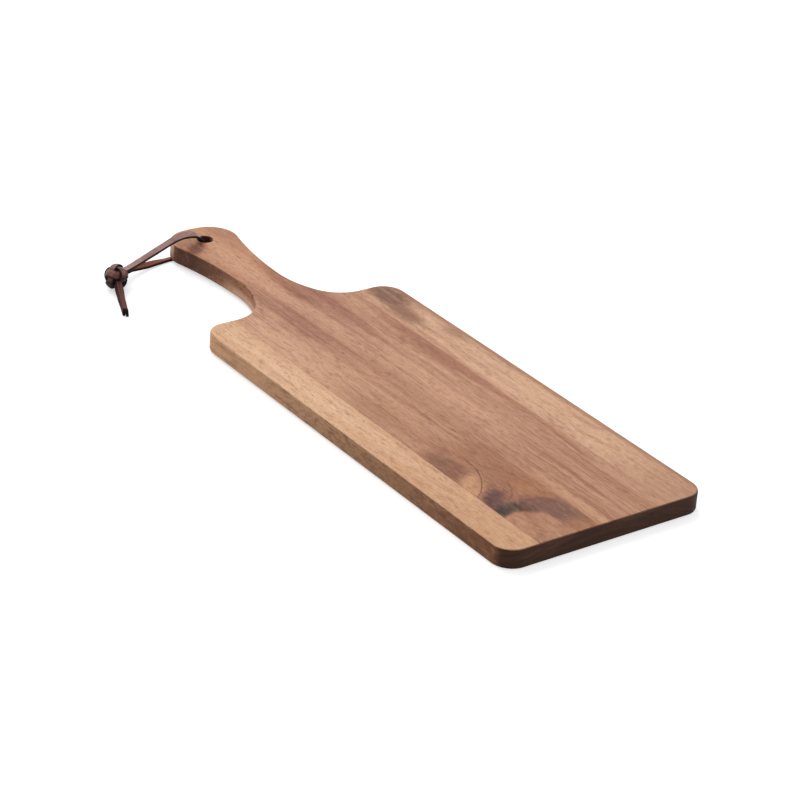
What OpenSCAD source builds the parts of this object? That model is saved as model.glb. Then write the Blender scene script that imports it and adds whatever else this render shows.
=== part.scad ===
/* [Board] */
// Width of the board across its staves
board_w = 150; // [140:1:170]
// Thickness of the board
board_t = 12.6; // [10:0.1:16]
// Length of the wide part, from the plain end to the shoulders
body_l = 326; // [280:1:360]
// Radius of the two corners at the plain end
end_r = 13.4; // [8:0.1:18]
// Radius of the two corners at the shoulders
shoulder_r = 14.4; // [8:0.1:18]
// How far the top and bottom edges are eased
ease = 1; // [0.4:0.1:2]

/* [Handle] */
// Length of the handle, from the shoulders to its tip
handle_l = 137.5; // [125:0.5:160]
// Width of the handle at its narrowest
neck_w = 31.2; // [26:0.2:36]
// Distance from the shoulders to the narrowest place
neck_at = 48.2; // [42:0.2:54]
// Radius where a shoulder turns into the handle
root_r = 28.7; // [24:0.1:32]
// Radius of the handle's side from the root to the neck
waist_r = 69.3; // [66:0.1:76]
// Radius of the handle's side from the neck to the grip's end
flare_r = 264; // [230:1:300]
// Radius of the two corners of the handle's tip
tip_corner_r = 19.4; // [17:0.1:21]
// Radius of the tip between its corners
tip_r = 59.6; // [45:0.1:75]

/* [Hanging hole] */
// Diameter of the hole
hole_d = 11; // [9:0.1:14]
// Distance from the tip to the middle of the hole
hole_inset = 20.3; // [18:0.1:26]
// How far the rim of the hole is eased
rim_ease = 0.6; // [0.2:0.1:1]

/* [Staves] */
// Wood left between the hole and the joint in front of it
hole_margin = 1.5; // [1.2:0.1:4]
// Width of the stave with the dark figure, in front of that joint
figured_stave_w = 44; // [40:0.5:46]
// Width of the stave that holds the hole
hole_stave_w = 52; // [46:0.5:60]

/* [Lace] */
// Width of the flat leather lace
lace_w = 4.5; // [3.5:0.1:5.5]
// Thickness of the lace
lace_t = 1.4; // [1:0.1:1.8]
// Thickness of the knot across the lace
knot_d = 15.8; // [14:0.1:18]
// Length of the knot along the tails
knot_l = 19; // [17:0.1:22]

/* [Hidden] */
// Fineness of the true rounds
$fn = 96;
// How far a cut runs past the face that it opens
overrun = 2;
// How far each arc of the handle's outline bites into the next, so that they cross cleanly
bite = 0.03;
// Gap between the lace that lies under the handle and the wood on it
rest_gap = 0.2;
// Steps in which an eased edge goes round its quarter turn
ease_steps = 2;

// Places along the board, whose middle is at zero
end_x = (body_l + handle_l) / 2;
tip_x = -end_x;
shoulder_x = end_x - body_l;
neck_x = shoulder_x - neck_at;
hole_x = tip_x + hole_inset;
// The lace under the handle lifts it, and the board leans on its plain end
lift = lace_t + rest_gap;
lean = asin(lift / (end_x - hole_x));

// Centres of the arcs of the handle's outline, on the side where Y is positive
waist_c = [neck_x, neck_w / 2 + waist_r];
root_x = shoulder_x - root_r + bite;
root_c = [root_x, waist_c[1] - sqrt(pow(waist_r - root_r + bite, 2) - pow(root_x - neck_x, 2))];
flare_c = [neck_x, neck_w / 2 + bite + flare_r];
tip_c = [tip_x + tip_r, 0];
corner_c = circles_meet(flare_c, flare_r + tip_corner_r - bite, tip_c, tip_r - tip_corner_r + bite);
// Heading at which the tip's arc takes over from its corner's
tip_from = heading(corner_c - tip_c);

// Lower of the two points at one distance from p and another from q, on the tip's side
function circles_meet(p, p_r, q, q_r) =
    let (d = norm(q - p),
         along = (p_r * p_r - q_r * q_r + d * d) / (2 * d),
         across = sqrt(p_r * p_r - along * along),
         u = (q - p) / d)
    p + along * u + across * [u[1], -u[0]];

function unit(v) = v / norm(v);
function heading(v) = atan2(v[1], v[0]);
function polar(r, a) = r * [cos(a), sin(a)];

// Degrees by which a cut of radius r runs on past its arc
function lap(r) = atan(2 * overrun / r);

// Inset and height of an eased edge, from the flank up to the face
function ease_points(e) = [for (i = [0 : ease_steps])
    let (a = 90 * i / ease_steps) [e * (1 - cos(a)), e * (1 - sin(a))]];

// Section of a slab: runs from low to high, with all four edges eased
function slab_section(low, high) = concat(
    [for (p = ease_points(ease)) [low + p[0], p[1]]],
    [for (i = [ease_steps : -1 : 0]) let (p = ease_points(ease)[i]) [high - p[0], p[1]]],
    [for (p = ease_points(ease)) [high - p[0], board_t - p[1]]],
    [for (i = [ease_steps : -1 : 0]) let (p = ease_points(ease)[i]) [low + p[0], board_t - p[1]]]);

// Disc whose rim follows the eased edge: outward = 1 fits inside a curve, -1 around a hollow
module eased_disc(r, outward, e) {
    pts = ease_points(e);
    rotate_extrude()
        polygon(concat(
            [[0, -overrun], [r - outward * e, -overrun]],
            [for (i = [ease_steps : -1 : 0]) [r - outward * pts[i][0], pts[i][1]]],
            [for (p = pts) [r - outward * p[0], board_t - p[1]]],
            [[r - outward * e, board_t + overrun], [0, board_t + overrun]]));
}

// Wedge with its point at c, opening from direction a0 to a1
module wedge(c, a0, a1, reach) {
    mid = (a0 + a1) / 2;
    translate([c[0], c[1], -overrun])
        linear_extrude(board_t + 2 * overrun)
            polygon([[0, 0], polar(reach, a0), polar(reach / cos((a1 - a0) / 2), mid), polar(reach, a1)]);
}

// Cuts a hollow curve into the side of the handle
module hollow(c, r, a0, a1) {
    intersection() {
        translate([c[0], c[1], 0])
            eased_disc(r, -1, ease);
        wedge(c, a0, a1, r + 2 * overrun);
    }
}

// Cuts a corner off down to a round one
module round_off(c, r, a0, a1) {
    difference() {
        wedge(c, a0, a1, board_w / 2);
        translate([c[0], c[1], 0])
            eased_disc(r, 1, ease);
    }
}

module side_cuts() {
    round_off([end_x - end_r, board_w / 2 - end_r], end_r, 0, 90);
    round_off([shoulder_x + shoulder_r, board_w / 2 - shoulder_r], shoulder_r, 90, 180);
    translate([root_c[0], root_c[1], 0])
        eased_disc(root_r, -1, ease);
    hollow(waist_c, waist_r, -90 - lap(waist_r), heading(root_c - waist_c));
    hollow(flare_c, flare_r, heading(corner_c - flare_c) - lap(flare_r), -90);
    round_off(corner_c, tip_corner_r, heading(flare_c - corner_c), heading(corner_c - tip_c));
}

// The whole outline in one piece, flat on its underside
module blank() {
    difference() {
        union() {
            intersection() {
                translate([0, board_w / 2, 0])
                    rotate([90, 0, 0])
                        linear_extrude(board_w)
                            polygon(slab_section(shoulder_x, end_x));
                translate([shoulder_x, 0, 0])
                    rotate([90, 0, 90])
                        linear_extrude(body_l)
                            polygon(slab_section(-board_w / 2, board_w / 2));
            }
            translate([tip_x, -root_c[1], 0])
                cube([handle_l + 2 * ease, 2 * root_c[1], board_t]);
        }
        side_cuts();
        mirror([0, 1, 0])
            side_cuts();
        round_off(tip_c, tip_r, tip_from - lap(tip_r), 360 - tip_from + lap(tip_r));
        translate([hole_x, 0, 0])
            eased_disc(hole_d / 2, -1, rim_ease);
    }
}

// Leans the board on the bottom edge of its plain end
module laid() {
    translate([end_x, 0, 0])
        rotate([0, lean, 0])
            translate([-end_x, 0, 0])
                children();
}

// One glued stave of the blank, from low to high across the board
module stave(low, high) {
    laid()
        intersection() {
            blank();
            translate([tip_x - overrun, low, -overrun])
                cube([2 * (end_x + overrun), high - low, board_t + 2 * overrun]);
        }
}

// Joints between the staves, from the front edge to the back; the outer staves fill what is left
joint_2 = -hole_d / 2 - hole_margin;
joint_1 = joint_2 - figured_stave_w;
joint_3 = joint_2 + hole_stave_w;

module front_stave() {
    color([0.80, 0.62, 0.49])
        stave(-board_w / 2 - overrun, joint_1);
}

module figured_stave() {
    color([0.60, 0.45, 0.38])
        stave(joint_1, joint_2);
}

module hole_stave() {
    color([0.73, 0.57, 0.46])
        stave(joint_2, joint_3);
}

module back_stave() {
    color([0.74, 0.58, 0.47])
        stave(joint_3, board_w / 2 + overrun);
}

// Height of the middle of a tail that stands on its edge, with room for its lean
edge_lean_share = 0.07;
on_edge = (1 + edge_lean_share) * lace_w / 2;

// Routes of the lace's free stretches: the middle line, from the hole or from the knot.
// Each point is its distance, its heading, its height, the heading that the flat side faces
// and how far the width leans up from level: 90 is a lace that stands on its edge.
upper_leg_route = [
    [1.6, -80, 7, -80, 0], [1.6, -80, 8.4, -80, 0], [2.3, -76, 10.4, -71, 0], [3.1, -72, 12.2, -66, -5],
    [4, -70, 14.6, -66, -12], [5.6, -71, 17, -68, -22], [8.8, -75, 19.5, -73, -34],
    [13.6, -78.5, 21.2, -78, -44], [20, -80, 22, -80, -48], [26.5, -80, 21.7, -80, -46],
    [32.5, -80, 20.5, -80, -42], [39, -80, 18.8, -80, -37], [46, -80, 17, -80, -33],
    [53, -80, 15.2, -80, -29], [60, -80, 13.4, -80, -24], [66, -80, 11.9, -80, -18],
    [74, -80, 10.3, -80, -10]];
lower_leg_route = [
    [1.6, -80, 7, -80, 0], [1.6, -80, 4.8, -80, 0], [1.8, -86, 2.7, -92, 0], [3.2, -96, 1.3, -104, 0],
    [5.4, -104, 0.8, -112, 0], [10, -109, 0.8, -112, 0], [17, -110, 0.8, -104, 0],
    [23.4, -108.4, 0.8, -94, 0], [28.4, -104.6, 0.8, -84, 0], [33.4, -100.4, 1.3, -78, -12],
    [39, -96.7, 2, -77, -24], [46, -93, 2.7, -74, -32], [53.4, -90, 4, -70, -32],
    [61, -87.4, 5.3, -66, -26], [67.4, -84.6, 6.1, -62, -18], [73.6, -81.6, 6.8, -58, -10]];
upper_tail_route = [
    [6, -8, 2.9 * on_edge, -19, 105], [9.4, -10.5, 2.6 * on_edge, -19.5, 108],
    [13, -13.1, 2.1 * on_edge, -20, 110], [18.4, -15.9, 1.45 * on_edge, -20.5, 106],
    [25, -18.1, 1.08 * on_edge, -21, 102], [33, -19.5, on_edge, -21.5, 98],
    [40, -20.45, on_edge, -22, 96], [46, -20.85, on_edge, -22, 95]];
lower_tail_route = [
    [6, -30, 2.7 * on_edge, -19, 75], [9.4, -27.5, 2.4 * on_edge, -19.5, 72],
    [13, -26, 1.9 * on_edge, -20, 70], [18.4, -24.1, 1.38 * on_edge, -20.5, 74],
    [25, -23.5, 1.08 * on_edge, -21, 78], [33, -23.1, on_edge, -21.5, 82],
    [40, -23.15, on_edge, -22, 84], [44.6, -23.15, on_edge, -22, 85]];

// Place of the knot's middle on the table, and the heading that its tails leave along
knot_reach = 79.8;
knot_heading = -80;
knot_facing = -30;
// The knot is one strand that goes this many times round while it turns back this many times
knot_leads = 3;
knot_bights = 4;
// How far the strand swings to each side of the knot's middle
knot_swing = 54;
// Steps of the strand from one turning back to the next
bight_rings = 21;
// Gap between the strand and itself where it crosses
knot_gap = 0.45;
// How far the strand rises and dips to pass over and under itself
knot_weave = (lace_t + knot_gap) / (2 * sin(120));
// Half width and half length of the ball that the strand's middle line follows
knot_b = (knot_d - lace_t) / 2 - knot_weave / 4;
knot_a = (knot_l - lace_t) / 2 - knot_weave / 4;
// Size of the filled inside of the knot, as a share of that ball
knot_core_share = 0.9;
// Sides of the filled inside
knot_core_sides = 24;

hole_c = [hole_x, 0, 0];
knot_xy = concat(polar(knot_reach, knot_heading), [0]);

// Section of the lace, with its corners cut; bend hollows it to hug a curve of that radius
function lace_section(bend) =
    let (h = lace_w / 2, k = lace_t / 2, c = lace_t / 4)
    [for (p = [[h, k - c], [h - c, k], [0, k], [c - h, k], [-h, k - c],
               [-h, c - k], [c - h, -k], [0, -k], [h - c, -k], [h, c - k]])
        [p[0], p[1] - (bend == 0 ? 0 : p[0] * p[0] / (2 * bend))]];

function route_points(route) = [for (p = route) concat(polar(p[0], p[1]), [p[2]])];

// One ring of the lace round point p, along t, with its width along side
function ring(p, t, side, section) =
    let (w = unit(side - (side * t) * t), n = cross(t, w))
    [for (q = section) p + q[0] * w + q[1] * n];

// Rings along an open route
function route_rings(route) =
    let (pts = route_points(route), last = len(pts) - 1)
    [for (i = [0 : last])
        ring(pts[i], unit(pts[min(i + 1, last)] - pts[max(i - 1, 0)]),
             concat(polar(cos(route[i][4]), route[i][3] + 90), [sin(route[i][4])]), lace_section(0))];

function flat(lists) = [for (l = lists) each l];

// Closed skin over the rings: two triangles for each step, and a cap at each end
module tube(rings) {
    last = len(rings) - 1;
    m = len(rings[0]);
    polyhedron(flat(rings), concat(
        [for (i = [0 : last - 1], j = [0 : m - 1], half = [0, 1])
            let (a = i * m + j, b = i * m + (j + 1) % m)
            half == 0 ? [b, a, b + m] : [b + m, a, a + m]],
        [[for (j = [0 : m - 1]) j], [for (j = [m - 1 : -1 : 0]) last * m + j]]));
}

// Place on the knot's strand at angle s, with the knot's length along X
function knot_point(s) =
    let (swing = knot_swing * cos(knot_bights * s),
         rise = knot_weave * sin(2 * knot_bights * s),
         round = (knot_b + rise) * cos(swing))
    [(knot_a + rise) * sin(swing), round * cos(knot_leads * s), round * sin(knot_leads * s)];

// Direction out of the ball at point p
function knot_out(p) = unit([p[0] / (knot_a * knot_a), p[1] / (knot_b * knot_b), p[2] / (knot_b * knot_b)]);

// Rings along the strand from one turning back to the next
function knot_bight(number) =
    let (step = 360 / knot_bights / bight_rings)
    [for (i = [0 : bight_rings])
        let (s = (number * bight_rings + i) * step,
             p = knot_point(s),
             t = unit(knot_point(s + step / 4) - knot_point(s - step / 4)))
        ring(p, t, cross(knot_out(p), t), lace_section(knot_b))];

knot_low = min([for (b = [0 : knot_bights - 1]) min([for (p = flat(knot_bight(b))) p[2]])]);

module lace_upper_leg() {
    color([0.55, 0.40, 0.38])
        translate(hole_c)
            tube(route_rings(upper_leg_route));
}

module lace_lower_leg() {
    color([0.45, 0.27, 0.22])
        translate(hole_c)
            tube(route_rings(lower_leg_route));
}

module lace_knot() {
    color([0.28, 0.18, 0.17])
        translate(hole_c + knot_xy - [0, 0, knot_low])
            rotate([0, 0, knot_facing])
                union() {
                    for (b = [0 : knot_bights - 1])
                        tube(knot_bight(b));
                    scale(knot_core_share * [knot_a, knot_b, knot_b])
                        sphere(1, $fn = knot_core_sides);
                }
}

module lace_upper_tail() {
    color([0.40, 0.24, 0.22])
        translate(hole_c + knot_xy)
            tube(route_rings(upper_tail_route));
}

module lace_lower_tail() {
    color([0.36, 0.21, 0.20])
        translate(hole_c + knot_xy)
            tube(route_rings(lower_tail_route));
}

front_stave();
figured_stave();
hole_stave();
back_stave();
lace_upper_leg();
lace_lower_leg();
lace_knot();
lace_upper_tail();
lace_lower_tail();
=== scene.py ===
# %% [markdown]
# # A wooden serving board with a leather hanging lace
#
# The board is glued from four staves of oiled acacia. A flat lace goes through the hole in its
# handle, and its two legs end in a woven knot with two short tails. The packed model already
# holds every piece at its real size, so this script adds the finish: wood on the four staves,
# and finer meshes in place of the lace's plain ones.

# %% Load the packed model
from math import cos, pi, radians, sin

import bpy
from mathutils import Matrix, Vector, noise


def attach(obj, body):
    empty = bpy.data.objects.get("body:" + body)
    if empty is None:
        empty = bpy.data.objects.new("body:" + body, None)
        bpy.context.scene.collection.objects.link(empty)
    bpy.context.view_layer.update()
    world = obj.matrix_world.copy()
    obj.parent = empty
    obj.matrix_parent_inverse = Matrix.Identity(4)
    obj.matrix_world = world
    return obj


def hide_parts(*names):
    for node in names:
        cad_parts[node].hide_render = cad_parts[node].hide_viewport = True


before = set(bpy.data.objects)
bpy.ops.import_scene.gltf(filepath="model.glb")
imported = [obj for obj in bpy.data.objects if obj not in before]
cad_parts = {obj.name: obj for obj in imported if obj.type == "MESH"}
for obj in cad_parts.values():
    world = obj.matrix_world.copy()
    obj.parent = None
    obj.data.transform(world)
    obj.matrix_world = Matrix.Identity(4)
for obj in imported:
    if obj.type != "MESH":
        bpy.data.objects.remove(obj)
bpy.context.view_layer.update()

print("nodes:", ", ".join(sorted(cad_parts)))

# %% [markdown]
# ## The camera
#
# A long lens flattens the board, as in a catalogue picture. The camera's place and its three
# directions were worked out beforehand from the board's corners, so they are given as they are.
# A rotation matrix takes them directly, and no tracking constraint is needed.

# %% Place the camera
camera = bpy.data.objects.new("camera", bpy.data.cameras.new("camera"))
bpy.context.scene.collection.objects.link(camera)
camera.data.lens = 121.5
camera.data.sensor_width = 36
camera_place = Vector((1.23458, -0.92175, 0.77999))
camera_right = Vector((0.577696, 0.813677, 0.064779))
camera_down = Vector((0.407306, -0.218583, -0.886749))
camera_ahead = Vector((-0.707368, 0.538656, -0.457690))
camera_turn = Matrix((camera_right, -camera_down, -camera_ahead)).transposed()
camera.matrix_world = Matrix.Translation(camera_place) @ camera_turn.to_4x4()
bpy.context.scene.camera = camera
print("camera at", [round(c, 3) for c in camera_place])

# %% [markdown]
# ## The route of the lace
#
# The lace is one strip of leather, 4.5 mm wide and 1.4 mm thick. Each free stretch follows a
# short list of places: a distance and a heading from the hole or from the knot, a height, the
# heading that the flat side faces, and how far the strip leans up from level. The two tails
# stand on their edges, back to back. A curve object could follow the places too, but a flat
# strip twists on a curve in ways that are hard to steer, so the rings are worked out here.

# %% Sizes and places of the lace
lace_w = 0.0045
lace_t = 0.0014
hole_place = Vector((-0.21145, 0, 0))
knot_reach = 0.0798
knot_heading = -80


def polar(reach, heading, height=0.0):
    """A point at a distance and a heading, in degrees, from the origin."""
    return Vector((reach * cos(radians(heading)), reach * sin(radians(heading)), height))


knot_place = hole_place + polar(knot_reach, knot_heading)
print("knot at", [round(c, 4) for c in knot_place])

# %% The legs' places: distance, heading, height, heading of the flat side, lean
upper_leg_route = [
    (0.0016, -80, 0.0070, -80, 0), (0.0016, -80, 0.0084, -80, 0),
    (0.0023, -76, 0.0104, -71, 0), (0.0031, -72, 0.0122, -66, -5),
    (0.0040, -70, 0.0146, -66, -12), (0.0056, -71, 0.0170, -68, -22),
    (0.0088, -75, 0.0195, -73, -34), (0.0136, -78.5, 0.0212, -78, -44),
    (0.0200, -80, 0.0220, -80, -48), (0.0265, -80, 0.0217, -80, -46),
    (0.0325, -80, 0.0205, -80, -42), (0.0390, -80, 0.0188, -80, -37),
    (0.0460, -80, 0.0170, -80, -33), (0.0530, -80, 0.0152, -80, -29),
    (0.0600, -80, 0.0134, -80, -24), (0.0660, -80, 0.0119, -80, -18),
    (0.0740, -80, 0.0103, -80, -10)]
lower_leg_route = [
    (0.0016, -80, 0.0070, -80, 0), (0.0016, -80, 0.0048, -80, 0),
    (0.0018, -86, 0.0027, -92, 0), (0.0032, -96, 0.0013, -104, 0),
    (0.0054, -104, 0.0008, -112, 0), (0.0100, -109, 0.0008, -112, 0),
    (0.0170, -110, 0.0008, -104, 0), (0.0234, -108.4, 0.0008, -94, 0),
    (0.0284, -104.6, 0.0008, -84, 0), (0.0334, -100.4, 0.0013, -78, -12),
    (0.0390, -96.7, 0.0020, -77, -24), (0.0460, -93, 0.0027, -74, -32),
    (0.0534, -90, 0.0040, -70, -32), (0.0610, -87.4, 0.0053, -66, -26),
    (0.0674, -84.6, 0.0061, -62, -18), (0.0736, -81.6, 0.0068, -58, -10)]
print("places on the legs:", len(upper_leg_route), "and", len(lower_leg_route))

# %% The tails' places, with heights counted in half widths of the strip
room_to_swell = 1.07
on_edge = room_to_swell * lace_w / 2
upper_tail_route = [
    (0.0060, -8, 2.90 * on_edge, -19, 105), (0.0094, -10.5, 2.60 * on_edge, -19.5, 108),
    (0.0130, -13.1, 2.10 * on_edge, -20, 110), (0.0184, -15.9, 1.45 * on_edge, -20.5, 106),
    (0.0250, -18.1, 1.08 * on_edge, -21, 102), (0.0330, -19.5, on_edge, -21.5, 98),
    (0.0400, -20.45, on_edge, -22, 96), (0.0460, -20.85, on_edge, -22, 95)]
lower_tail_route = [
    (0.0060, -30, 2.70 * on_edge, -19, 75), (0.0094, -27.5, 2.40 * on_edge, -19.5, 72),
    (0.0130, -26, 1.90 * on_edge, -20, 70), (0.0184, -24.1, 1.38 * on_edge, -20.5, 74),
    (0.0250, -23.5, 1.08 * on_edge, -21, 78), (0.0330, -23.1, on_edge, -21.5, 82),
    (0.0400, -23.15, on_edge, -22, 84), (0.0446, -23.15, on_edge, -22, 85)]
print("places on the tails:", len(upper_tail_route), "and", len(lower_tail_route))

# %% [markdown]
# ## From a route to rings
#
# Few places make a kinked strip, so each pair of places gets more points between them on a
# Catmull-Rom curve, which goes through every place. Each ring is a small rounded rectangle
# that stands across the curve.


# %% Smooth a route
def between(a, b, c, d, share):
    """Point on the smooth curve from b to c, by their neighbours a and d."""
    return 0.5 * (2 * b + (c - a) * share + (2 * a - 5 * b + 4 * c - d) * share ** 2
                  + (3 * b - a - 3 * c + d) * share ** 3)


def smooth_route(start, route, steps=8):
    """Points along a route, and at each the direction of the strip's width."""
    rows = [Vector((*polar(reach, heading, height), facing + 90, lean))
            for reach, heading, height, facing, lean in route]
    rows = [2 * rows[0] - rows[1], *rows, 2 * rows[-1] - rows[-2]]
    fine = [between(*rows[i:i + 4], step / steps)
            for i in range(len(rows) - 3) for step in range(steps)] + [rows[-2]]
    points = [start + Vector(row[:3]) for row in fine]
    widths = [polar(cos(radians(lean)), heading, sin(radians(lean))) for *_, heading, lean in fine]
    return points, widths


def length_along(points):
    """Length of the line through the points."""
    return sum((b - a).length for a, b in zip(points, points[1:]))


print("upper leg:", round(length_along(smooth_route(hole_place, upper_leg_route)[0]), 4), "m")

# %% [markdown]
# ## The strip's section
#
# Cut leather has a smooth face and a darker cut edge. One mesh carries both: each point of the
# section says how far it belongs to the edge, and the material reads that as an attribute. The
# alternative, two materials on two sets of faces, would give the edge a hard border.

# %% Section of the strip
corner_radius = 0.00034
crown = ((0.0006, 1.01), (0.0010, 1.02))  # how far in from the edge, and the rise there
rim_points = slice(4, 7)  # where one edge meets the face


def lace_section(bend=0.0, plump=1.0, rim=0.0, under=0.0, wide=1.0):
    """Points round the strip and how far each belongs to the cut edge, from 0 to 1.

    Bend curls the strip to a radius, and plump and wide make it thicker and wider. Rim carries
    the dark edge onto the face along one edge, partly dye and partly painted shade, and under
    darkens the flesh side underneath as painted shade.
    """
    half_w, half_t = lace_w / 2 * wide, lace_t / 2 * plump
    side = [(half_w, 0.0, 1.0)]
    side += [(half_w - corner_radius * (1 - cos(a)), half_t - corner_radius * (1 - sin(a)),
              1.0 - sin(a) ** 4 * 0.6) for a in (0.0, pi / 6, pi / 3, pi / 2)]
    side += [(half_w - inward, half_t * rise, 0.0) for inward, rise in crown]
    side += [(half_w / 2, half_t * 1.03, 0.0), (0.0, half_t * 1.04, 0.0)]
    top = side + [(-x, z, e) for x, z, e in side[-2::-1]]
    # The underside is darkened by under, as painted shade.
    below = [(-x, -z, max(e, under)) for x, z, e in top[1:-1]]
    top[rim_points] = [(x, z, max(e, rim)) for x, z, e in top[rim_points]]
    return [(x, z - (x * x / (2 * bend) if bend else 0.0), e) for x, z, e in top + below]


def ring_at(point, ahead, width, section):
    """The section's points round one point of the strip."""
    across = (width - width.dot(ahead) * ahead).normalized()
    up = ahead.cross(across)
    return [point + x * across + z * up for x, z, e in section]


print("points round the strip:", len(lace_section()))


# %% Skin over the rings
def skin(name, rings, section, closed=False, dark_rings=0):
    """A mesh over the rings, with two attributes: the edge share, and 1 on the dark last rings."""
    count, many = len(section), len(rings)
    last = many if closed else many - 1
    faces = [(i * count + j, i * count + (j + 1) % count,
              (i + 1) % many * count + (j + 1) % count, (i + 1) % many * count + j)
             for i in range(last) for j in range(count)]
    if not closed:
        faces += [tuple(range(count))[::-1], tuple(range((many - 1) * count, many * count))]
    mesh = bpy.data.meshes.new(name)
    mesh.from_pydata([p for ring in rings for p in ring], [], faces)
    shares = {"edge": [e for ring in rings for x, z, e in section],
              "tip": [float(i + dark_rings >= many) for i in range(many) for point in section]}
    for share, values in shares.items():
        mesh.attributes.new(share, "FLOAT", "POINT").data.foreach_set("value", values)
    for polygon in mesh.polygons:
        polygon.use_smooth = len(polygon.vertices) == 4
    mesh.update()
    piece = bpy.data.objects.new(name, mesh)
    bpy.context.scene.collection.objects.link(piece)
    return piece


print("skin maker ready")

# %% [markdown]
# ## The four free stretches
#
# Leather is never quite even, so the strip swells and thins by a few hundredths as it goes, by
# a noise that gives the same result in every run. The legs are pulled a little wider than the
# strip, and the tails are swollen, so that no light shows between them. Each stretch stands in
# for its own node of the packed model and rides on the same body.

# %% Make a stretch of lace
swell_share = 0.035
swell_rate = 0.13


def stretch(name, node, start, route, seed, section, dark_rings=0):
    """One free stretch in place of a node; its last rings may be dark, as a cut end is."""
    points, widths = smooth_route(start, route)
    rings = []
    for i, point in enumerate(points):
        ahead = (points[min(i + 1, len(points) - 1)] - points[max(i - 1, 0)]).normalized()
        swell = 1 + swell_share * noise.noise(Vector((i * swell_rate, seed, 0)))
        rings.append(ring_at(point, ahead, widths[i], [(x * swell, z, e) for x, z, e in section]))
    piece = skin(name, rings, section, dark_rings=dark_rings)
    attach(piece, "lace")
    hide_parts(node)
    return piece, points


# On the legs the dark along one edge is partly painted shade, and the dark underside is painted
# shade.
leg_section = lace_section(rim=1.0, under=0.8, wide=1.07)
tail_section = lace_section(plump=1.25)
tip_rings = 5
upper_leg, upper_leg_path = stretch(
    "upper_leg", "lace_upper_leg", hole_place, upper_leg_route, 1.5, leg_section)
lower_leg, lower_leg_path = stretch(
    "lower_leg", "lace_lower_leg", hole_place, lower_leg_route, 2.5, leg_section)
upper_tail, upper_tail_path = stretch(
    "upper_tail", "lace_upper_tail", knot_place, upper_tail_route, 3.5, tail_section, tip_rings)
lower_tail, lower_tail_path = stretch(
    "lower_tail", "lace_lower_tail", knot_place, lower_tail_route, 4.5, tail_section, tip_rings)
print("lower tail:", round(length_along(lower_tail_path), 4), "m")

# %% [markdown]
# ## The knot
#
# The knot is a ball woven from the lace: a strand that goes three times round while it turns
# back four times at each end, over one and under one, as in a Turk's head. Sculpting it would
# take long and never weave truly, while two sines give the weave exactly. One sine swings the
# strand from end to end, and one of twice the rate lifts it over a crossing and lowers it
# under the next.

# %% Sizes of the knot
knot_leads = 3
knot_bights = 4
knot_length = 0.0190
knot_breadth = 0.0158
knot_height = 0.00799392
knot_swing = radians(54)
knot_facing = radians(-30)
knot_centre = knot_place + Vector((0, 0, knot_height))
weave_gap = 0.00045
weave_at_crossing = radians(120)
knot_weave = (lace_t + weave_gap) / (2 * sin(weave_at_crossing))
knot_a = (knot_length - lace_t) / 2 - knot_weave / 4
knot_b = (knot_breadth - lace_t) / 2 - knot_weave / 4


def knot_point(turn):
    """Place on the strand, with the knot's length along X; turn runs from 0 to 2 pi."""
    swing = knot_swing * cos(knot_bights * turn)
    rise = knot_weave * sin(2 * knot_bights * turn)
    across = (knot_b + rise) * cos(swing)
    return Vector(((knot_a + rise) * sin(swing),
                   across * cos(knot_leads * turn), across * sin(knot_leads * turn)))


def knot_out(p):
    """Direction out of the ball at a point."""
    return Vector((p.x / knot_a ** 2, p.y / knot_b ** 2, p.z / knot_b ** 2)).normalized()


print("knot:", round(2 * knot_a * 1000, 1), "by", round(2 * knot_b * 1000, 1), "mm in its middle")

# %% Weave the strand
knot_turn = Matrix.Rotation(knot_facing, 4, "Z")
strand_steps = 264
strand_pull = 1.28  # the strand is pulled wider than the lace
strand_cup = 0.0006  # and its edges are pressed in towards the ball
nudge = 0.004
# The strand's face darkens towards both edges, as painted shade in the creases between strands.
strand_section = [
    (x * strand_pull, z - strand_cup * (x / lace_w) ** 2, max(e, abs(2 * x / lace_w) ** 3))
    for x, z, e in lace_section(bend=knot_b)]
strand_rings = []
for i in range(strand_steps):
    turn = 2 * pi * i / strand_steps
    middle = knot_point(turn)
    ahead = (knot_point(turn + nudge) - knot_point(turn - nudge)).normalized()
    ring = ring_at(middle, ahead, knot_out(middle).cross(ahead), strand_section)
    strand_rings.append([knot_centre + knot_turn @ p for p in ring])
knot = skin("knot", strand_rings, strand_section, closed=True)
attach(knot, "lace")
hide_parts("lace_knot")
print("knot strand:", len(strand_rings), "rings")

# %% [markdown]
# ## The knot's dark inside
#
# A real knot is packed with leather, so no light comes through its gaps. More strands could
# fill it, but a plain dark ball just under the strand looks the same and costs far less. Its
# near-black colour is painted shade, for the shaded leather deep in the gaps.

# %% Fill the knot
core_share = 0.9
bpy.ops.mesh.primitive_uv_sphere_add(segments=48, ring_count=24, radius=1)
knot_core = bpy.context.object
knot_core.name = "knot_core"
core_size = Matrix.Diagonal((core_share * knot_a, core_share * knot_b, core_share * knot_b, 1))
knot_core.data.transform(Matrix.Translation(knot_centre) @ knot_turn @ core_size)
knot_core.data.shade_smooth()
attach(knot_core, "lace")
print("knot filled:", len(knot_core.data.polygons), "faces")

# %% [markdown]
# ## Cords
#
# Each stretch's real length is measured along its points: a leg leaves the hole and ends in the
# knot, and a tail leaves the knot and ends in a plain cut. Its path could be read back from the
# mesh, but the points that made the mesh are at hand and exact.

hole_mid_height = 0.007
lace_middle = hole_place + Vector((0, 0, hole_mid_height))
for piece, path, start, end in (
        (upper_leg, upper_leg_path, lace_middle, "knot"),
        (lower_leg, lower_leg_path, lace_middle, "knot"),
        (upper_tail, upper_tail_path, upper_tail_path[0], "bare"),
        (lower_tail, lower_tail_path, lower_tail_path[0], "bare")):
    round(length_along(path), 4)
    [knot, knot_core] if end == "knot" else []
    print(piece.name, "is a cord of", round(length_along(path), 4), "m")

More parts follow.
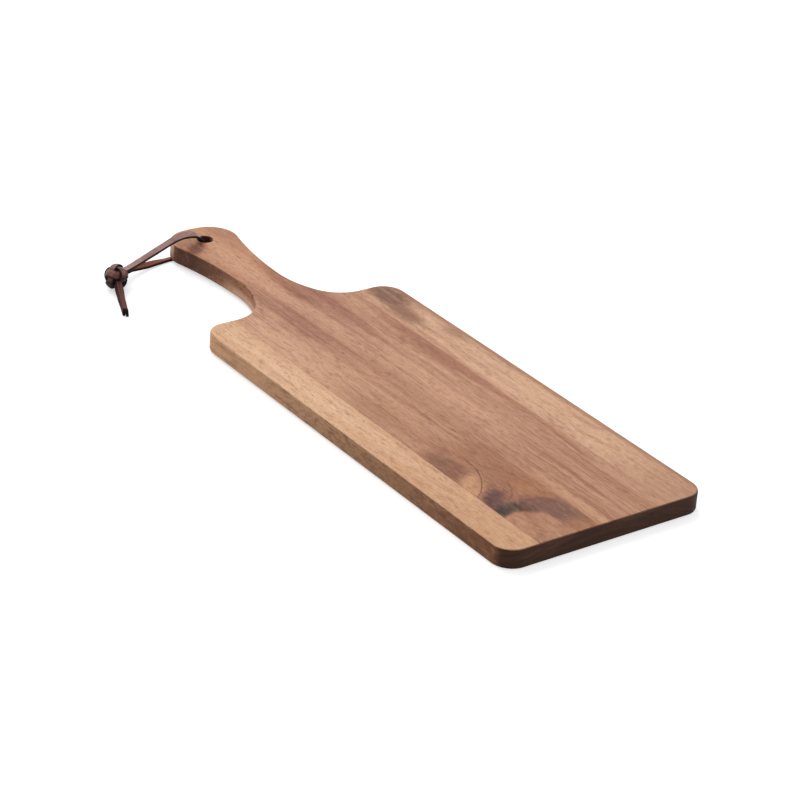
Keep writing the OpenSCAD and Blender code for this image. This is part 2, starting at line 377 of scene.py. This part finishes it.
# %% [markdown]
# ## Shader maths in Python
#
# A wood finish needs a few dozen nodes. Wired by hand they are hard to read, so one small class
# wraps a node's output: a sum or a product of two of them adds the Math node, and the formula
# reads as it would on paper. Colours and vectors go through their own nodes.


# %% A value to add and multiply
class Value:
    """One output of a node; arithmetic on it adds Math nodes."""

    def __init__(self, finish, socket):
        self.finish, self.socket = finish, socket

    def beside(self, output):
        """Another output of the same node, by its name or number."""
        return Value(self.finish, self.socket.node.outputs[output])

    def math(self, operation, *others):
        """A Math node on this value and others."""
        numbered = dict(enumerate((self, *others)))
        return self.finish.node("Math", {"operation": operation}, numbered)

    def __add__(self, other):
        return self.math("ADD", other)

    def __mul__(self, other):
        return self.math("MULTIPLY", other)

    def __sub__(self, other):
        return self.math("SUBTRACT", other)

    def __rsub__(self, other):
        return (self * -1.0) + other

    __radd__ = __add__
    __rmul__ = __mul__


print("operators:", ", ".join(name.strip("_") for name in vars(Value) if name.startswith("__r")))


# %% A finish under construction
class Finish:
    """The nodes of a material, or of the world, under construction."""

    def __init__(self, owner, shader="Principled BSDF"):
        owner.use_nodes = True
        self.owner, self.tree = owner, owner.node_tree
        self.shader = self.tree.nodes[shader]

    def node(self, kind, settings=None, sockets=None, out=0):
        """Adds one node: its settings first, then the values or links of its sockets."""
        made = self.tree.nodes.new("ShaderNode" + kind)
        for name, value in (settings or {}).items():
            setattr(made, name, value)
        self.fill(made, sockets or {})
        return Value(self, made.outputs[out])

    def fill(self, made, sockets):
        """Sets a node's sockets, by name or number, from values and plain numbers."""
        for key, value in sockets.items():
            if isinstance(value, Value):
                self.tree.links.new(value.socket, made.inputs[key])
            else:
                made.inputs[key].default_value = value

    def paint(self, **sockets):
        """Sets the shader's own sockets, with a space for each underscore."""
        self.fill(self.shader, {name.replace("_", " "): v for name, v in sockets.items()})
        return self.owner


print("finish class ready")

# %% [markdown]
# ## Tones and stains
#
# Wood is matched to a paint chart, from 0 to 255, while nodes work with linear light, so one
# function turns the first into the second. A stain is a blend towards another tone by a share
# that varies over the surface, which is close to what oil and age do. One long mix would need
# fewer nodes, but stains laid one on another can be judged one at a time.


# %% Tones, blends and stains
def tone(red, green, blue):
    """A colour as a paint chart gives it, from 0 to 255, in the linear numbers of nodes."""
    shares = [c / 255 for c in (red, green, blue)]
    return tuple(c / 12.92 if c <= 0.04045 else ((c + 0.055) / 1.055) ** 2.4 for c in shares)


def blend(share, below, above):
    """Colour from below to above as share goes from 0 to 1."""
    below, above = [c if isinstance(c, Value) else (*c, 1) for c in (below, above)]
    return share.finish.node("Mix", {"data_type": "RGBA"}, {0: share, 6: below, 7: above}, out=2)


def stained(colour, *stains):
    """The colour after one stain on another; each is a share and the colour it goes to."""
    for share, other in stains:
        colour = blend(share, colour, other)
    return colour


def ease(value, low, high):
    """A soft step: 0 where value is at low, 1 where it is at high."""
    return value.finish.node("MapRange", {"interpolation_type": "SMOOTHSTEP"},
                             {"Value": value, "From Min": low, "From Max": high})


print("salmon wood in linear numbers:", [round(c, 3) for c in tone(205, 158, 125)])

# %% [markdown]
# ## Places and noises
#
# Each layer of the grain is a noise that is read at a place in space. Stretching the place
# before the noise reads it draws the noise out, and that is how one kind of noise can give
# clouds, bands and fibres. A Wave texture draws stripes too, but too evenly for wood.


# %% Places and noises
def parts(vector):
    """The three numbers of a vector."""
    first = vector.finish.node("SeparateXYZ", {}, {0: vector})
    return [first.beside(axis) for axis in range(3)]


def vector_maths(operation, vector, other, out=0):
    """One Vector Math node on a vector and another, or a plain one."""
    return vector.finish.node("VectorMath", {"operation": operation}, {0: vector, 1: other}, out)


def scaled(place, x, y, z):
    """The place, multiplied along each axis."""
    return vector_maths("MULTIPLY", place, (x, y, z))


def cloud(place, scale, detail=3.0, rough=0.55):
    """Soft noise from 0 to 1, mostly near a half; scale is one number or one for each axis."""
    if isinstance(scale, tuple):
        place, scale = scaled(place, *scale), 1.0
    return place.finish.node("TexNoise", {}, {
        "Vector": place, "Scale": scale, "Detail": detail, "Roughness": rough})


print("place helpers ready")

# %% [markdown]
# ## How wood is built up
#
# A picture of wood could be wrapped round the board, but its long sides and end grain would
# then not agree with its face. Here the colour is worked out in space, as in a real tree.
# Rings lie round a pith that runs beside each stave, so the face shows long bands and the end
# grain shows arcs. Over them lie streaks, fibres and short open pores, each finer than the last
# and all drawn out along the board.

# %% The layers of the grain
ring_wave = 0.012


class Grain:
    """Bands, streaks, fibres and pores of one stave, as values from 0 to 1."""

    def __init__(self, finish, seed, pith, bend=None):
        self.finish, self.seed = finish, seed
        self.place = finish.node("TexCoord", out="Object")
        self.x, self.y, self.z = parts(self.place)
        moved = vector_maths("ADD", self.place, (seed * 0.37, 0, 0))
        drift = cloud(moved, (6, 22, 22), 2.0) - 0.5
        ripple = cloud(moved, (26, 90, 90), 3.0) - 0.5
        away, depth = self.y - pith[0], self.z - pith[1]
        radius = (away * away + depth * depth).math("SQRT")
        self.ring = radius + drift * ring_wave + ripple * (ring_wave / 3)
        if bend:
            self.ring = self.ring + bend(self)
        self.bands = self.drawn_out(2.2, self.ring * 105, 9, 2.5)
        self.stripes = self.drawn_out(10, self.ring * 270, 30, 2.0)
        self.streaks = self.drawn_out(36, self.ring * 800, 60, 3.0)
        self.fibres = self.drawn_out(80, self.y * 1500, 1400, 2.0)
        self.pores = ease(self.drawn_out(170, self.y * 2300, 2200, 1.0), 0.58, 0.70)
        self.mottle = cloud(moved, (130, 340, 340), 4.0, 0.65)
        self.flecks = ease(self.drawn_out(520, self.y * 2400, 2200, 1.0), 0.60, 0.74)

    def drawn_out(self, along, across, deep, detail):
        """Noise drawn out along the board; across is a value, along and deep are scales."""
        spread = self.finish.node("CombineXYZ", {}, {
            0: self.x * along + self.seed, 1: across, 2: self.z * deep})
        return cloud(spread, 1.0, detail, 0.6)


print("grain layers: bands, stripes, streaks, fibres, pores, mottle, flecks")

# %% [markdown]
# ## Spots and lines of figure
#
# One stave holds the start of a branch: a dark, purplish heart with paler wood round it, and a
# thin dark arc beside it. Each such mark is an ellipse with a soft rim, set at its place on the
# board. A little noise is added to the place before the ellipse is measured, which frays its
# outline as growth does.

# %% Places that fray
face_height = 0.014
spot_depth = 0.030


def frayed(place, amount, scale, drawn=1.0):
    """The place, pushed about by noise so that outlines fray, and drawn out along the grain."""
    push = place.finish.node("TexNoise", {}, {
        "Vector": scaled(place, 1 / drawn, 1, 1), "Scale": scale, "Detail": 4.0}, out="Color")
    centred = vector_maths("SUBTRACT", push, (0.5, 0.5, 0.5))
    small = place.finish.node("VectorMath", {"operation": "SCALE"}, {0: centred, "Scale": amount})
    return vector_maths("ADD", place, small)


print("figure on the face, at", face_height, "m, reaches", spot_depth, "m up and down")


# %% Spots
def spot(place, centre, radii, turn=0.0, rim=0.5):
    """1 inside an ellipse on the board, in millimetres, falling to 0 over its soft rim."""
    local = place.finish.node("Mapping", {"vector_type": "TEXTURE"}, {
        "Vector": place, "Location": (centre[0] / 1000, centre[1] / 1000, face_height),
        "Rotation": (0, 0, radians(turn)),
        "Scale": (radii[0] / 1000, radii[1] / 1000, spot_depth)})
    far = place.finish.node("VectorMath", {"operation": "LENGTH"}, {0: local}, out="Value")
    grainy = cloud(local, 3.5, 5.0, 0.65)
    return ease(far + (grainy - 0.5) * 0.9, 1 + rim, 1 - rim)


def spotted(colour, place, *spots):
    """The colour with one spot on another: centre, radii, turn, rim, share and paint tone."""
    return stained(colour, *[(spot(place, centre, radii, turn, rim) * share, tone(*paint))
                             for centre, radii, turn, rim, share, paint in spots])


print("spot maker ready")


# %% Distances and lines
def reach_from(place, centre):
    """Distance over the board, in metres, from a centre in millimetres."""
    flat_centre = (centre[0] / 1000, centre[1] / 1000, 0)
    return vector_maths("DISTANCE", scaled(place, 1, 1, 0), flat_centre, out="Value")


def arc_line(place, centre, radius, width):
    """1 on a circle drawn on the board, in millimetres, 0 beside it."""
    off = (reach_from(place, centre) - radius / 1000).math("ABSOLUTE")
    return ease(off, width / 1000, 0.0)


print("line maker ready")

# %% [markdown]
# ## Faces, long sides and end grain
#
# End grain soaks up far more oil than a face and turns dark, and the long sides lie between
# the two. The darkest end grain goes only on the plain end, which faces away from the sun, so
# its darkness there is partly the wood's own and partly painted shade, while the handle's tip
# gets a paler end grain, partly painted light. The direction of the surface tells them apart,
# so no second material is needed and the colour runs smoothly round each eased edge.


# %% The long sides
def side_colour(grain, turned):
    """The long sides: pale at the shoulder and browner to the plain end, partly painted shade.

    Dark along the handle, partly the wood and partly a painted shadow of the lace, with a patch
    of painted sunlight where the tip's wall turns towards the sun.
    """
    # The run from pale to brown is partly the wood's tone and partly painted shade to the plain
    # end.
    run = grain.finish.node("MapRange", {}, {
        "Value": grain.x, "From Min": -0.085, "From Max": 0.215})
    layers = cloud(grain.place, (26, 26, 330), 3.0, 0.65)
    short = cloud(grain.place, (260, 260, 1500), 2.0, 0.6)
    cloudy = cloud(grain.place, (120, 120, 170), 4.0, 0.7)
    calm = 1 - ease(grain.x, -0.100, -0.085) * ease(grain.x, 0.030, -0.050) * 0.65
    foot = ease(grain.x, -0.172, -0.140) * ease(grain.x, -0.090, -0.110)
    # A patch of painted sunlight where the tip's wall turns towards the sun.
    sunlit_corner = ease(turned, 0.02, -0.10) * ease(grain.x, -0.195, -0.210)
    sunlit_corner = sunlit_corner * ease(grain.z, 0.000, 0.012) * ease(grain.y, 0.012, -0.004)
    # The tip's end faces the sun, and its paler end grain is partly painted light.
    cut_arcs = ease(cloud(grain.place, (20, 90, 420), 3.0), 0.36, 0.66)
    tip_grain = blend(cut_arcs, tone(150, 106, 80), tone(112, 74, 56))
    return stained(
        blend(run, tone(224, 174, 134), tone(103, 56, 31)),
        (ease(grain.x, -0.092, -0.115), tone(172, 120, 88)),
        # Dark along the handle: partly the wood, partly a painted shadow of the lace on its wall.
        (ease(grain.x, -0.125, -0.195), tone(92, 60, 49)),
        (ease(layers, 0.52, 0.72) * 0.50, tone(104, 66, 47)),
        (ease(layers, 0.46, 0.28) * 0.35, tone(208, 152, 110)),
        (ease(short, 0.50, 0.68) * calm * 0.60, tone(84, 50, 35)),
        (ease(grain.mottle, 0.50, 0.70) * calm * 0.55, tone(86, 46, 32)),
        (foot * ease(grain.z, 0.0095, 0.0045) * 0.92, tone(234, 186, 158)),
        (ease(cloudy, 0.50, 0.66) * calm * 0.42, tone(78, 44, 32)),
        (ease(cloudy, 0.48, 0.34) * 0.30, tone(190, 138, 108)),
        # Painted sunlight on the tip's wall.
        (sunlit_corner * 0.95, tone(226, 184, 160)),
        (ease(turned, -0.45, -0.80) * 0.9, tip_grain))


print("long sides ready")


# %% The end grain
def end_colour(grain):
    """End grain: flat arcs cut across, with the open ends of the pores as dots."""
    rise = grain.z * 330 + grain.y * grain.y * 700 + grain.y * 9
    spread = grain.finish.node("CombineXYZ", {}, {0: rise, 1: grain.y * 26})
    arcs = cloud(spread, 1.0, 2.0)
    dots = cloud(grain.place, (40, 1500, 1500), 1.0)
    patch = cloud(grain.place, (20, 30, 130), 2.0)
    # These dark tones go only on the plain end, away from the sun: partly the wood's, partly
    # painted shade.
    return stained(
        blend(ease(arcs, 0.36, 0.66), tone(70, 45, 34), tone(54, 35, 27)),
        (ease(patch, 0.54, 0.70) * 0.35, tone(104, 70, 50)),
        (ease(dots, 0.58, 0.70) * 0.4, tone(36, 23, 18)))


print("end grain ready")

# %% [markdown]
# ## The wood of one stave
#
# On oiled acacia the wide bands come first, then the marks that only this stave has, and the
# fine grain over both, since fibres run through a mark without a break. One material could
# serve the whole board, but such boards are glued from strips of different trees, so one maker
# is called four times, each time with a seed, a pith and tones of its own.


# %% The wood maker
def wood(name, seed, pith, tones, marks, stripe, streak, mottled, bend=None, over=None):
    """Oiled acacia in a pale, a warm and a deep tone; marks adds what only this stave has.

    Pith is its place beside and below the stave. Stripe, streak and mottled are strengths. What
    bend gives turns the grain aside, and over darkens the finished grain.
    """
    finish = Finish(bpy.data.materials.new(name))
    grain = Grain(finish, seed, pith, bend)
    pale, warm, deep = [tone(*paint) for paint in tones]
    colour = stained(
        marks(grain, blend(ease(grain.bands, 0.34, 0.66), pale, warm)),
        (ease(grain.stripes, 0.50, 0.72) * stripe, deep),
        (ease(grain.stripes, 0.44, 0.28) * stripe * 0.6, pale),
        (ease(grain.streaks, 0.54, 0.74) * streak, deep),
        (ease(grain.fibres, 0.48, 0.80) * 0.40, deep),
        (ease(grain.fibres, 0.48, 0.20) * 0.35, pale),
        (ease(grain.mottle, 0.50, 0.74) * mottled, deep),
        (ease(grain.mottle, 0.48, 0.26) * mottled * 0.7, pale),
        (grain.pores * 0.50, tone(110, 70, 50)),
        (grain.flecks * 0.40, tone(118, 74, 52)))
    colour = over(grain, colour) if over else colour
    turned = parts(finish.node("TexCoord", out="Normal"))
    upright = ease(turned[2].math("ABSOLUTE"), 0.90, 0.30)
    # By the surface's direction: sides and the plain end take their own colours, both partly
    # painted shade.
    colour = stained(colour, (upright * 0.88, side_colour(grain, turned[0])),
                     (ease(turned[0], 0.05, 0.55) * 0.97, end_colour(grain)))
    height = grain.fibres * 0.5 + grain.streaks * 0.3 - grain.pores * 1.2
    bump = finish.node("Bump", {}, {"Strength": 0.25, "Distance": 0.00012, "Height": height})
    rough = grain.fibres * 0.16 + grain.streaks * 0.10 + 0.50
    return finish.paint(Base_Color=colour, Roughness=rough, Normal=bump, IOR=1.45,
                        Specular_IOR_Level=0.15)


print("wood maker ready")

# %% [markdown]
# ## Front stave
#
# The front stave is pale and even, and a little browner towards the plain end, so its stripes
# and streaks are kept weak. Its one mark is a pale tongue beside the branch. Marks here and
# below are placed in millimetres, in the packed model's own frame, and toned by a paint chart.


# %% Front stave
def front_marks(grain, colour):
    """A browner plain end, and one pale tongue beside the branch."""
    near = ease(grain.x, 0.00, 0.22)
    return spotted(blend(near * 0.60, colour, tone(190, 141, 105)),
                   frayed(grain.place, 0.003, 90.0),
                   ((166, -52), (9, 1.6), -34, 0.5, 0.6, (226, 178, 128)))


front_wood = wood("front_wood", 1.0, (-0.170, -0.030),
                  ((229, 188, 153), (214, 169, 133), (168, 114, 80)), front_marks,
                  stripe=0.25, streak=0.30, mottled=0.55)
print("made", front_wood.name)

# %% [markdown]
# ## The handle
#
# Two staves run on into the handle, so what is special there is one function that both call:
# redder wood, a paler crown, and beside the hole a painted shadow of the lace, dark in the
# middle with a reddish rim. A material of its own for the handle would show a seam at the
# shoulders.


# %% The handle's tint
def handle_tint(grain, colour):
    """Redder wood, a pale crown, and beside the hole a painted shadow of the lace."""
    colour = blend(ease(grain.x, -0.105, -0.150) * 0.50, colour, tone(186, 128, 92))
    return spotted(colour, grain.place,
                   ((-152, -3), (48, 7), 0, 0.8, 0.50, (218, 168, 138)),
                   # The last two spots are a painted shadow of the lace: a reddish rim and a dark
                   # middle.
                   ((-205, -14), (15, 9), -20, 0.6, 0.42, (160, 102, 84)),
                   ((-200.5, -14), (11, 5.2), -48, 0.5, 0.82, (108, 58, 46)))


print("handle tint ready")

# %% [markdown]
# ## The branch
#
# A branch that was cut through leaves a round boundary, and the wood along it turns dark and
# purplish. It is drawn by the distance from the branch's middle, and wisps of noise tear the
# band outwards. A painted picture would be quicker, but it wouldn't run down through the
# board's thickness, and this one does.


# %% The flame round the branch
def branch_flame(grain, place):
    """The dark flame: a band round the branch, torn outwards by wisps and ended by soft steps."""
    reach = reach_from(place, (214, -43))
    wisps = cloud(place, (130, 130, 130), 4.0, 0.5) - 0.5
    outward = reach + wisps * 0.012 - ease(grain.y, -0.036, -0.016) * 0.009
    inward = reach + wisps * 0.006
    flame = ease(inward, 0.0162, 0.0205) * ease(outward, 0.0320, 0.0268)
    return flame * ease(grain.x, 0.226, 0.212) * ease(grain.y, -0.004, -0.013)


print("flame ready")


# %% The marks of the branch
def branch_marks(grain, colour, place):
    """The start of a branch: a dark flame along a round boundary, and thin lines beside it."""
    colour = spotted(colour, place,
                     ((176, -30), (24, 22), 0, 0.5, 0.60, (156, 104, 80)),
                     ((177, -16), (13, 10), 0, 0.6, 0.80, (172, 118, 82)),
                     ((179, -44), (14, 7), -38, 0.5, 0.95, (90, 58, 54)))
    heart = ease(grain.y, -0.022, -0.040)
    dark = blend(heart, tone(120, 84, 75), tone(34, 31, 30))
    colour = blend(branch_flame(grain, place) * 0.94, colour, dark)
    colour = spotted(colour, place, ((203, -42), (5, 5), 0, 0.6, 0.60, (178, 126, 96)))
    first = arc_line(frayed(grain.place, 0.003, 90.0), (133.2, -74.6), 45.2, 0.8)
    second = arc_line(frayed(grain.place, 0.004, 90.0), (156.6, -55.5), 33.1, 1.5)
    return stained(
        colour,
        (first * spot(grain.place, (152, -40), (24, 14), -35, 0.25) * 0.85, tone(92, 58, 42)),
        (second * spot(grain.place, (177, -31), (14, 7), -42, 0.4) * 0.55, tone(98, 64, 54)))


print("branch marks ready")


# %% What the branch does to the grain
def branch_bend(grain):
    """Turns the grain aside round the branch."""
    return spot(frayed(grain.place, 0.016, 45.0), (184, -30), (46, 22), 0, 0.9) * 0.020


def branch_root(grain, colour):
    """The root of the branch stays dark over the grain, with a purplish patch below it."""
    return spotted(colour, frayed(grain.place, 0.004, 160.0),
                   ((180, -44.5), (11, 5), -38, 0.5, 0.55, (88, 58, 56)),
                   ((190.5, -43), (4.6, 8), 12, 0.7, 0.55, (52, 44, 44)))


print("branch bend and root ready")

# %% [markdown]
# ## Figured stave
#
# The stave with the branch is the liveliest: long pale and dark runs near the handle, a browner
# plain end, and a smoky patch and a pale island just before the branch. Its grain bends round
# the branch, because the bend is added to the rings before the bands are read from them.


# %% Figured stave
def figured_marks(grain, colour):
    """Long pale and dark runs, a browner plain end, and the branch in it."""
    place = frayed(grain.place, 0.006, 110.0, 1.2)
    drawn = frayed(grain.place, 0.014, 60.0, 5.0)
    colour = spotted(colour, drawn,
                     ((-70, -44), (95, 13), 0, 0.5, 0.85, (212, 166, 134)),
                     ((-86, -14), (64, 9), 0, 0.6, 0.65, (158, 106, 88)),
                     ((-80, -30), (26, 7), 0, 0.6, 0.60, (218, 170, 140)),
                     ((62, -42), (30, 11), 0, 0.6, 0.55, (168, 122, 92)))
    near = ease(grain.x, 0.090, 0.130)
    colour = spotted(blend(near * 0.90, colour, tone(164, 114, 86)), drawn,
                     ((214, -38), (26, 14), 0, 0.5, 0.80, (186, 136, 106)),
                     ((133, -45), (20, 8.5), 0, 0.5, 0.90, (134, 93, 70)))
    colour = spotted(colour, place, ((160, -44), (14, 7), -30, 0.5, 0.92, (220, 168, 126)))
    return handle_tint(grain, branch_marks(grain, colour, place))


figured_wood = wood("figured_wood", 4.0, (0.110, -0.040),
                    ((204, 156, 126), (178, 128, 100), (122, 78, 60)), figured_marks,
                    stripe=0.38, streak=0.28, mottled=0.45, bend=branch_bend, over=branch_root)
print("made", figured_wood.name)

# %% [markdown]
# ## Hole stave
#
# The widest stave holds the hole and most of the handle. Towards the plain end it shows
# straight dark lines. They could be drawn one by one, but they follow the rings, so they are
# the same rings read at a much finer scale.


# %% Hole stave
def hole_marks(grain, colour):
    """Warm and pale runs towards the handle, and straight dark lines near the plain end."""
    drawn = frayed(grain.place, 0.012, 60.0, 5.0)
    colour = spotted(colour, drawn,
                     ((-96, 19), (60, 11), 0, 0.6, 0.84, (160, 107, 88)),
                     ((-80, 3), (45, 9), 0, 0.6, 0.55, (200, 150, 126)),
                     ((-178, 2), (24, 8), 0, 0.7, 0.80, (222, 174, 138)),
                     ((15, 40), (70, 5), 0, 0.5, 0.75, (160, 106, 84)),
                     ((-125, 12), (34, 8), 0, 0.5, 0.80, (148, 96, 76)),
                     ((-132, -9), (32, 6), 0, 0.5, 0.65, (210, 156, 130)))
    near = ease(grain.x, 0.06, 0.16)
    lines = grain.drawn_out(9, grain.ring * 1100, 60, 2.0)
    colour = stained(
        colour,
        (near * spot(drawn, (190, 24), (80, 17), 0, 0.3) * 0.55, tone(180, 134, 106)),
        (near * ease(lines, 0.50, 0.62) * 0.55, tone(140, 92, 66)))
    return spotted(handle_tint(grain, colour), drawn,
                   ((200, 41), (50, 4), 0, 0.5, 0.60, (206, 162, 134)),
                   ((205, -2), (40, 5), 0, 0.5, 0.60, (206, 158, 122)))


hole_wood = wood("hole_wood", 7.0, (-0.150, -0.050),
                 ((208, 160, 130), (182, 133, 106), (130, 84, 64)), hole_marks,
                 stripe=0.42, streak=0.30, mottled=0.45)
print("made", hole_wood.name)

# %% [markdown]
# ## Back stave
#
# The back stave is pale again, with one smoky patch at the shoulder. Nothing in it has a sharp
# line, so a few soft spots are enough. Painted shade darkens a strip along its far eased edge.


# %% Back stave
def back_marks(grain, colour):
    """A smoky patch at the shoulder, a browner plain end, and painted shade along the back edge.
    """
    colour = spotted(colour, frayed(grain.place, 0.012, 70.0, 2.5),
                     ((-78, 62), (22, 10), 0, 0.5, 0.92, (114, 80, 63)),
                     ((-50, 56), (18, 7), 0, 0.6, 0.80, (130, 92, 72)),
                     ((-10, 67), (14, 4), 0, 0.6, 0.60, (150, 106, 82)),
                     ((120, 62), (60, 10), 0, 0.7, 0.60, (222, 178, 142)))
    return stained(colour, (ease(grain.x, 0.14, 0.22) * 0.75, tone(180, 136, 108)),
                   # Painted shade on the far eased edge of the back.
                   (ease(grain.y, 0.0690, 0.0725) * 0.45, tone(132, 92, 72)))


back_wood = wood("back_wood", 10.0, (0.180, -0.040),
                 ((218, 174, 143), (198, 152, 123), (146, 98, 74)), back_marks,
                 stripe=0.38, streak=0.30, mottled=0.45)
print("made", back_wood.name)

# %% [markdown]
# ## The staves' materials
#
# The staves keep the packed model's own solids, which have the true outline, hole and eased
# edges, so only their material is changed.

# %% Put the wood on the staves
stave_woods = {"front": front_wood, "figured": figured_wood, "hole": hole_wood, "back": back_wood}
for place, material in stave_woods.items():
    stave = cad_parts[place + "_stave"]
    stave.material_slots[0].material = material
    place + "_wood"
print("staves finished:", len(stave_woods))

# %% [markdown]
# ## Leather
#
# The lace is cut from dyed cowhide: a smooth face with a soft shine, and a dark, fibrous edge.
# The edge attribute of the mesh mixes the two. Small cells in the bump give the face its
# pores, and a slow noise gives the dye its unevenness. On the knot, painted shade darkens the
# strands where their surface turns down, on the sides of the ball.


# %% The leather maker
def leather(name, face, worn, cut, shine=0.42, gloss=0.2, painted_side_shade=0.0):
    """Dyed hide; the last argument paints shade where the surface turns down, on the knot's sides.
    """
    finish = Finish(bpy.data.materials.new(name))
    face, worn, cut = [tone(*paint) for paint in (face, worn, cut)]
    place = finish.node("TexCoord", out="Object")
    lifted = parts(finish.node("TexCoord", out="Normal"))[2]
    patches = cloud(place, 160.0, 3.0)
    specks = cloud(place, 900.0, 2.0)
    edge = ease(finish.node("Attribute", {"attribute_name": "edge"}, out="Fac"), 0.25, 0.80)
    tip = finish.node("Attribute", {"attribute_name": "tip"}, out="Fac")
    colour = stained(
        blend(ease(patches, 0.35, 0.68), face, worn),
        (ease(specks, 0.52, 0.72) * 0.35, cut),
        # Painted shade where the surface turns down.
        (ease(lifted, 0.75, 0.12) * painted_side_shade, cut),
        (edge * 0.94, cut),
        (tip * 0.9, tone(28, 22, 20)))
    pebbles = finish.node("TexVoronoi", {"feature": "SMOOTH_F1"}, {
        "Vector": place, "Scale": 2200.0})
    height = pebbles * 0.7 + specks * 0.6
    bump = finish.node("Bump", {}, {"Strength": 0.30, "Distance": 0.00010, "Height": height})
    rough = edge * 0.30 + patches * 0.15 + (shine - 0.06)
    return finish.paint(Base_Color=colour, Roughness=rough, Normal=bump, IOR=1.45,
                        Specular_IOR_Level=gloss)


print("leather maker ready")

# %% Put the leather on the lace
lace_leather = leather("lace_leather", (188, 150, 144), (168, 131, 127), (16, 7, 5), gloss=0.12)
lower_leather = leather("lower_leather", (150, 92, 73), (130, 79, 68), (24, 11, 8), gloss=0.06)
tail_leather = leather("tail_leather", (72, 46, 44), (58, 36, 36), (110, 74, 68),
                       shine=0.60, gloss=0.02)
knot_leather = leather("knot_leather", (142, 96, 89), (104, 67, 61), (20, 11, 10),
                       shine=0.36, gloss=0.16, painted_side_shade=0.90)
# Painted shade: the near-black ball seen through the knot's gaps.
shaded_core_leather = leather("shaded_core_leather", (40, 22, 20), (30, 17, 16), (20, 11, 10), gloss=0.05)
leather_on = ((upper_leg, lace_leather), (lower_leg, lower_leather), (upper_tail, tail_leather),
              (lower_tail, tail_leather), (knot, knot_leather), (knot_core, shaded_core_leather))
for piece, material in leather_on:
    piece.data.materials.append(material)
print("leather pieces:", len(leather_on))

# %% [markdown]
# ## The floor
#
# The picture is set on plain white. A floor that is only bright would wash light back onto the
# board, so rays that bounce off the board meet a mid grey. The camera and the reflections see a
# paler grey with a glow that lifts it to white, and the shadow stays, because the glow doesn't
# hide the darker grey in it.


# %% White floor that keeps the shadow
def seen_directly(finish):
    """1 for the camera, and for rays that a shiny or clear surface sends on."""
    path = finish.node("LightPath")
    camera_ray, glossy_ray, clear_ray = [
        path.beside(name) for name in ("Is Camera Ray", "Is Glossy Ray", "Is Transmission Ray")]
    return (camera_ray + glossy_ray + clear_ray).math("MINIMUM", 1.0)


floor_grey = 0.62
floor_seen = 0.77
floor_glow = 0.52
floor_size = 12
floor_height = -0.0001
floor_finish = Finish(bpy.data.materials.new("floor"))
seen = seen_directly(floor_finish)
floor_finish.paint(Base_Color=blend(seen, (floor_grey,) * 3, (floor_seen,) * 3), Roughness=1.0,
                   Specular_IOR_Level=0.0, Emission_Strength=floor_glow,
                   Emission_Color=blend(seen, (0, 0, 0), (1, 1, 1)))
bpy.ops.mesh.primitive_plane_add(size=floor_size, location=(0, 0, floor_height))
floor = bpy.context.object
floor.name = "floor"
floor.data.materials.append(floor_finish.owner)
print("floor grey", floor_grey, "and", floor_seen, "as seen")

# %% [markdown]
# ## Sky and sun
#
# An even sky alone would leave the board flat, and a small hard sun would draw black shadows.
# So one broad soft sun shines along the board from beyond the tip of the handle, as a large
# lamp would, and an even sky does the rest. The camera sees that sky as white.

# %% Sky and sun
sky_light = 0.68
world = bpy.context.scene.world or bpy.data.worlds.new("world")
bpy.context.scene.world = world
sky = Finish(world, "Background")
sky.paint(Color=(1, 1, 1, 1), Strength=seen_directly(sky) * (1 - sky_light) + sky_light)
sun = bpy.data.objects.new("sun", bpy.data.lights.new("sun", "SUN"))
bpy.context.scene.collection.objects.link(sun)
sun.data.energy = 1.46
sun.data.angle = radians(38)
sun_from = Vector((-0.70, 0.14, 0.70)).normalized()
sun.rotation_euler = sun_from.to_track_quat("Z", "Y").to_euler()
print("sun height", round(sun_from.z, 2))

# %% [markdown]
# ## Colour view
#
# The Standard view shows each tone as it is written, where others would grey it.

# %% Colour view
bpy.context.scene.view_settings.view_transform = "Standard"
